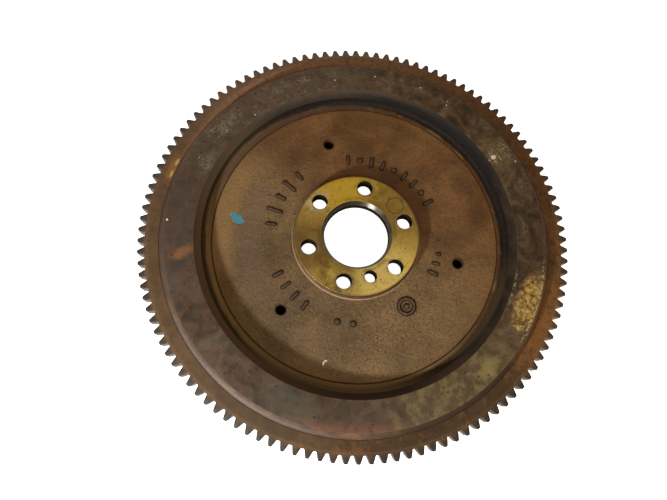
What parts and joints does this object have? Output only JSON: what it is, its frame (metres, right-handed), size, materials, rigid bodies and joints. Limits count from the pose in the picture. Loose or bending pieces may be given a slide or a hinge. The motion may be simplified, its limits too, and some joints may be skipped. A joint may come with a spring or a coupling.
{
  "type": "flywheel with starter ring gear",
  "caption": "Round cast-iron engine flywheel with a shrunk-on toothed starter ring, raised crank boss, centre bore and clutch-cover dowels.",
  "frame": {"origin": "centre of the crank mounting face, on the wheel's axis", "axes": "+Z along the wheel's axis towards the crankshaft; +X through the middle of the lone pair of crank bolt holes"},
  "size_m": [0.295, 0.295, 0.0334],
  "materials": {
    "casting": "brown rust patina, matt, with a golden-brown machined crank face",
    "ring_gear": "brown oxide over turned steel, dark worn tooth tips",
    "dowel": "ground steel, lightly stained"
  },
  "bodies": {
    "root": {"flywheel_body": "casting", "starter_ring_gear": "ring_gear", "cover_dowel_1": "dowel", "cover_dowel_2": "dowel", "cover_dowel_3": "dowel"}
  },
  "joints": []
}
